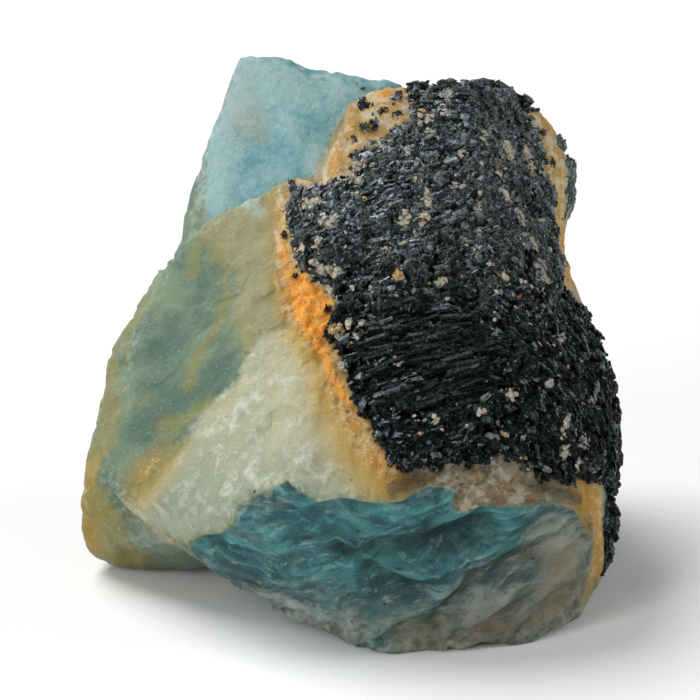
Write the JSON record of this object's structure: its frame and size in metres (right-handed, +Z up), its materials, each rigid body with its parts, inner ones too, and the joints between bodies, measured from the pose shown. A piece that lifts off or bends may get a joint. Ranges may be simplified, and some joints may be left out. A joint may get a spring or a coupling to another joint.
{
  "type": "aquamarine with black tourmaline, a rough mineral specimen",
  "caption": "Rough chunk of blue-green aquamarine with cream and ochre weathered faces, crusted on one side with black tourmaline; stands on a small flat of its underside.",
  "frame": {"origin": "on the rest plane, under the middle of the stone's width and depth", "axes": "+X to the right as the cream and teal faces are seen, along the stone's greatest width, +Y away from the teal face, +Z up from the flat it rests on"},
  "size_m": [0.046, 0.0404, 0.0387],
  "materials": {
    "beryl": "waxy, cloudy blue-green crystal with cream faces and ochre stains",
    "black_tourmaline": "glassy black, striated laths in a rough granular mass",
    "feldspar": "dull cream and ochre grains"
  },
  "bodies": {
    "root": {"aquamarine": "beryl", "tourmaline_crust": "black_tourmaline", "tourmaline_sliver": "black_tourmaline"}
  },
  "joints": []
}
